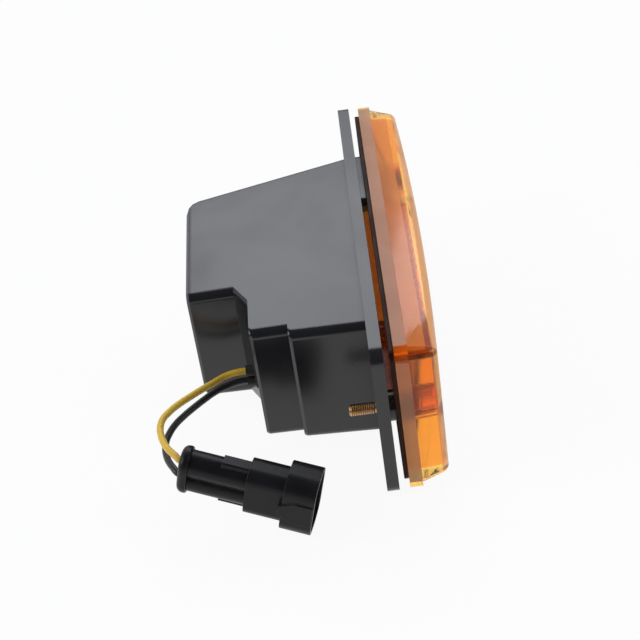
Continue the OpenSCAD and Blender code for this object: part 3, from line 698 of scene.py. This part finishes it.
# %% Every plain node
DRESSED = {
    "housing": (black_moulding, 0.35), "lens": (AMBER["clear"], 0.25), "lens_gasket": (gasket_rubber, 0.2),
    "reflector": (bright_reflector, 0), "bulb_glass": (bulb_glass, 0), "bulb_cap": (brass, 0.15),
    "bulb_holder": (steel, 0), "holder_rivets": (steel, 0.15), "holder_insulator": (brown_fibre, 0.2),
    "centre_contact": (brass, 0.1), "contact_spring": (steel, 0.06), "live_terminal": (brass, 0.1),
    "earth_terminal": (brass, 0.1), "screw_washer_near": (steel, 0.1), "screw_washer_far": (steel, 0.1),
    "cable_grommet": (black_rubber, 0.3), "inner_lead_yellow": (yellow_sleeve, 0),
    "inner_lead_black": (black_sleeve, 0), "connector_housing": (connector_black, 0.25),
    "connector_rear_cap": (connector_black, 0.3), "connector_lock": (connector_black, 0.1),
    "wire_seal_yellow": (seal_rubber, 0), "wire_seal_black": (seal_rubber, 0),
    "connector_pin_live": (tinned, 0.08), "connector_pin_earth": (tinned, 0.08)}
SPECIAL = {"lens": {"flat": 0.02, "reshape": cut_box}}

pieces = {node: dress(node, material, radius, **SPECIAL.get(node, {}))
          for node, (material, radius) in DRESSED.items()}
print("dressed:", len(pieces), "nodes,", sum(len(p.data.polygons) for p in pieces.values()), "faces")

# %% Finish the lens
SAME_WAY = 0.9


def finish_lens(piece):
    """Gives each part of the lens its own finish, and its dome the normals of the true round form."""
    mesh = piece.data
    mesh.materials.clear()
    for material in AMBER.values():
        mesh.materials.append(material)
    normals = [Vector(corner.vector) for corner in mesh.corner_normals]
    for face in mesh.polygons:
        place = face.center / MM
        x = place.x - FLANGE_SHIFT
        face.material_index = list(AMBER).index(lens_zone(x, place, face.normal))
        if x < RIM_X1 + PAST_RIM:
            continue
        for corner, vert in zip(face.loop_indices, face.vertices):
            true = dome_normal(mesh.vertices[vert].co / MM)
            if true.dot(face.normal) > SAME_WAY:
                normals[corner] = true
    mesh.normals_split_custom_set([tuple(n) for n in normals])


finish_lens(pieces["lens"])
zone_of_face = [list(AMBER)[face.material_index] for face in pieces["lens"].data.polygons]
print("lens faces:", {zone: zone_of_face.count(zone) for zone in AMBER})

# %% [markdown]
# ## The screws
# A real thread is cut into the rod, so the rod between its ridges is thinner than the screw. The packed
# cylinder is as thick as the ridges, and would hide them. Its surface is drawn in to the thread's root, and
# then the ridge is joined to it, so that each screw stays one piece.

# %% Screws
SHANK_END_X, OUTER_SKIN_R, ROOT_R = -0.2, 1.8, 1.62
SCREW_EDGE = 0.15


def thread_core(build):
    """Draws the stud's surface in to the root of its thread."""
    for vert in build.verts:
        place = vert.co / MM
        if place.x - FLANGE_SHIFT > SHANK_END_X:
            continue
        axis_y = SCREW_SPACING / 2 * (1 if place.y > 0 else -1)
        arm = Vector((0, place.y - axis_y, place.z - MID_Z))
        if arm.length > OUTER_SKIN_R:
            vert.co = Vector((place.x, axis_y, MID_Z)) * MM + arm.normalized() * ROOT_R * MM


for name, thread in threads.items():
    node = "lens_screw_" + name
    pieces[node] = dress(node, yellow_zinc, SCREW_EDGE, reshape=thread_core, extra=thread)
    print(node, "faces", len(pieces[node].data.polygons))

# %% [markdown]
# ## The bulb's filament
# Two stiff posts run forward through the glass and hold a short coil between them, square to the lamp's
# axis. The photograph hides it, so its form is a guess from such bulbs. A plain rod would do behind an amber
# lens, but the helix group is already there, so the coil is a real one. It is wound along the lamp's axis
# and then turned a quarter round its own middle.

# %% Filament
BULB_Y, LIGHT_X, POST_X = 7.0, -8.2, -32.0
COIL_HALF, COIL_R, COIL_WIRE_R, COIL_CORNERS, COIL_TURNS, COIL_STEPS = 2.3, 0.42, 0.09, 8, 16, 16
POST_APART, POST_LEAN, POST_D = 2.6, 2.55, 0.5
BEND_BACK, TIP_BACK = 1.5, 0.3


def bent_rod(name, material, route, width):
    """A thin round rod through a few points, as a mesh."""
    curve = bpy.data.curves.new(name, "CURVE")
    curve.dimensions = "3D"
    curve.bevel_depth = width / 2 * MM
    curve.bevel_resolution = 3
    curve.use_fill_caps = True
    line = curve.splines.new("POLY")
    line.points.add(len(route) - 1)
    for knot, point in zip(line.points, route):
        knot.co = (*at_lamp(*point), 1.0)
    mesh = curve_mesh(name, curve)
    mesh.materials.clear()
    mesh.materials.append(material)
    return mesh


def post(side):
    """One post, from the bulb's foot to its end of the coil."""
    route = [(POST_X, BULB_Y + side * POST_APART, MID_Z),
             (LIGHT_X - BEND_BACK, BULB_Y + side * POST_APART, MID_Z),
             (LIGHT_X - TIP_BACK, BULB_Y + side * POST_LEAN, MID_Z),
             (LIGHT_X, BULB_Y + side * COIL_HALF, MID_Z)]
    return bent_rod("post", steel, route, POST_D)


coil = helix_mesh("filament", steel, LIGHT_X - COIL_HALF, LIGHT_X + COIL_HALF, BULB_Y, COIL_R, COIL_WIRE_R,
                  COIL_CORNERS, COIL_TURNS, COIL_STEPS)
coil_middle = at_lamp(LIGHT_X, BULB_Y, MID_Z)
coil.transform(Matrix.Translation(coil_middle) @ Matrix.Rotation(radians(90), 4, "Z")
               @ Matrix.Translation(-coil_middle))
filament = new_object("wound_bulb_filament", post(-1))
add_mesh(filament, post(1))
add_mesh(filament, coil)
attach(filament, "root")
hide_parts("bulb_filament")
print("filament:", COIL_TURNS, "turns,", len(filament.data.polygons), "faces")

# %% [markdown]
# ## The wires' sleeves
# The wires' sleeves are soft coloured plastic with a slight gloss, so they take the sleeve finishes.

for piece, line, sleeve in ((yellow_wire, yellow_line, yellow_sleeve),
                            (black_wire, black_line, black_sleeve)):
    piece.data.materials.clear()
    piece.data.materials.append(sleeve)

# %% [markdown]
# ## The studio floor
# The photograph is a packshot on white. A bright enough lamp would make a pale floor white, but it would
# also wash out the amber and the black. So the floor's material asks what kind of ray meets it. Reflections
# see only its own white, the camera sees nearly only that, and rays through the lens see mostly that. All
# other rays see a plain pale floor, and the small share that the camera sees of it keeps a soft shadow.

# %% Floor
FLOOR_SEEN, FLOOR_THROUGH_LENS = 0.93, 0.85
FLOOR_R, FLOOR_SIDES, FLOOR_DROP = 1.6, 96, 0.3 * MM
FLOOR_GREY, FLOOR_ROUGH = 0.9, 0.9


def floor_material():
    """White to the camera and in reflections, and a plain pale surface to the light."""
    material = bpy.data.materials.new("sweep")
    material.use_nodes = True
    tree = material.node_tree
    shader = tree.nodes["Principled BSDF"]
    shader.inputs["Base Color"].default_value = (FLOOR_GREY, FLOOR_GREY, FLOOR_GREY, 1.0)
    shader.inputs["Roughness"].default_value = FLOOR_ROUGH
    glow = add(tree, "ShaderNodeEmission", color=(1.0, 1.0, 1.0, 1.0), strength=1.0)
    rays = add(tree, "ShaderNodeLightPath")
    share = add(tree, "ShaderNodeMath", operation="MULTIPLY")
    share.inputs[1].default_value = FLOOR_SEEN
    lens_share = add(tree, "ShaderNodeMath", operation="MULTIPLY_ADD")
    lens_share.inputs[1].default_value = FLOOR_THROUGH_LENS
    all_share = add(tree, "ShaderNodeMath", operation="MAXIMUM")
    blend = add(tree, "ShaderNodeMixShader")
    link = tree.links.new
    link(rays.outputs["Is Camera Ray"], share.inputs[0])
    link(rays.outputs["Is Transmission Ray"], lens_share.inputs[0])
    link(share.outputs[0], lens_share.inputs[2])
    link(lens_share.outputs[0], all_share.inputs[0])
    link(rays.outputs["Is Glossy Ray"], all_share.inputs[1])
    link(all_share.outputs[0], blend.inputs[0])
    link(shader.outputs[0], blend.inputs[1])
    link(glow.outputs[0], blend.inputs[2])
    link(blend.outputs[0], tree.nodes["Material Output"].inputs["Surface"])
    return material


def sweep_floor():
    """A round floor just under the lamp."""
    mesh = bpy.data.meshes.new("sweep_floor")
    build = bmesh.new()
    turns = [2 * pi * k / FLOOR_SIDES for k in range(FLOOR_SIDES)]
    build.faces.new([build.verts.new((FLOOR_R * cos(a), FLOOR_R * sin(a), -FLOOR_DROP)) for a in turns])
    build.to_mesh(mesh)
    build.free()
    mesh.materials.append(floor_material())
    return new_object("sweep_floor", mesh)


sweep_floor()
print("floor:", 2 * FLOOR_R, "m across")

# %% [markdown]
# ## The world
# In the photograph the black upper faces are paler than the faces towards the camera. Seen from here, an
# upper face mirrors what is behind the lamp, so this studio is bright there and dim above and in front. A
# picture of a studio could light it, but two smooth steps over the sky's direction are enough: one darkens
# the zenith, and one the camera's side. The camera, and rays through the lens, see plain white instead.

# %% World
DIM, BRIGHT = 0.10, 0.80
SKY_TINT, PLAIN_WHITE = (0.94, 0.97, 1.06), (1.0, 1.0, 1.0)
NUMBER_FIRST, NUMBER_SECOND = 2, 3


def studio_world():
    """Bright behind the lamp, dim above and in front, and white to the camera and through the lens."""
    world = bpy.data.worlds.new("studio")
    world.use_nodes = True
    tree = world.node_tree
    tree.nodes.clear()
    place = add(tree, "ShaderNodeTexCoord")
    apart = add(tree, "ShaderNodeSeparateXYZ")
    height = add(tree, "ShaderNodeMapRange", interpolation_type="SMOOTHSTEP", from_min=0.92, from_max=0.72)
    behind = add(tree, "ShaderNodeMapRange", interpolation_type="SMOOTHSTEP", from_min=-0.25, from_max=0.25)
    both = add(tree, "ShaderNodeMath", operation="MULTIPLY")
    level = add(tree, "ShaderNodeMapRange", to_min=DIM, to_max=BRIGHT)
    rays = add(tree, "ShaderNodeLightPath")
    seen = add(tree, "ShaderNodeMath", operation="MAXIMUM")
    pick = add(tree, "ShaderNodeMix", data_type="FLOAT")
    pick.inputs[NUMBER_SECOND].default_value = 1.0
    tint = colour_mix(tree, SKY_TINT, PLAIN_WHITE)
    back = add(tree, "ShaderNodeBackground")
    out = add(tree, "ShaderNodeOutputWorld")
    link = tree.links.new
    link(place.outputs["Generated"], apart.inputs[0])
    link(apart.outputs["Z"], height.inputs["Value"])
    link(apart.outputs["Y"], behind.inputs["Value"])
    link(height.outputs["Result"], both.inputs[0])
    link(behind.outputs["Result"], both.inputs[1])
    link(both.outputs[0], level.inputs["Value"])
    link(rays.outputs["Is Camera Ray"], seen.inputs[0])
    link(rays.outputs["Is Transmission Ray"], seen.inputs[1])
    link(seen.outputs[0], pick.inputs[MIX_SHARE])
    link(level.outputs["Result"], pick.inputs[NUMBER_FIRST])
    link(seen.outputs[0], tint.inputs[MIX_SHARE])
    link(tint.outputs[MIX_RESULT], back.inputs["Color"])
    link(pick.outputs[0], back.inputs["Strength"])
    link(back.outputs[0], out.inputs["Surface"])
    return world


bpy.context.scene.world = studio_world()
print("world: from", DIM, "above and in front to", BRIGHT, "behind")

# %% [markdown]
# ## The softboxes
# A packshot is lit by large soft lamps. Point lamps would be simpler, but they leave hard spots on a glossy
# moulding. Three square area lamps stand behind, to the right and to the left, all aimed low at the lamp.
# They are a little blue, as the photograph's greys are.

# %% Lamps
AIM = (0, 0, 0.02)
SOFTBOX_TINT = (0.93, 0.96, 1.0)
SOFTBOXES = [("rear_softbox", (0.10, 0.75, 0.85), 0.7, 3.75),
             ("side_softbox", (0.95, -0.35, 0.55), 0.5, 3.0),
             ("left_softbox", (-0.9, -0.2, 0.6), 0.5, 4.5)]


def softbox(name, place, size, power):
    """A square area lamp at a place in metres, turned to face the aim."""
    data = bpy.data.lights.new(name, "AREA")
    data.shape = "SQUARE"
    data.size = size
    data.energy = power
    data.color = SOFTBOX_TINT
    light = new_object(name, data)
    light.location = place
    light.rotation_euler = (Vector(AIM) - Vector(place)).to_track_quat("-Z", "Y").to_euler()
    print(name, "power", power, "W")


for name, place, size, power in SOFTBOXES:
    softbox(name, place, size, power)

# %% [markdown]
# ## Ready to render
# Standard shows a colour about as it is written. Light crosses many walls of the lens, the light box and the
# bulb before it comes out again, and a path that runs out of bounces ends black, so their limits are raised.

# %% Finish
bpy.context.scene.view_settings.view_transform = "Standard"
paths = bpy.context.scene.cycles
paths.max_bounces, paths.glossy_bounces, paths.transmission_bounces = 28, 20, 24
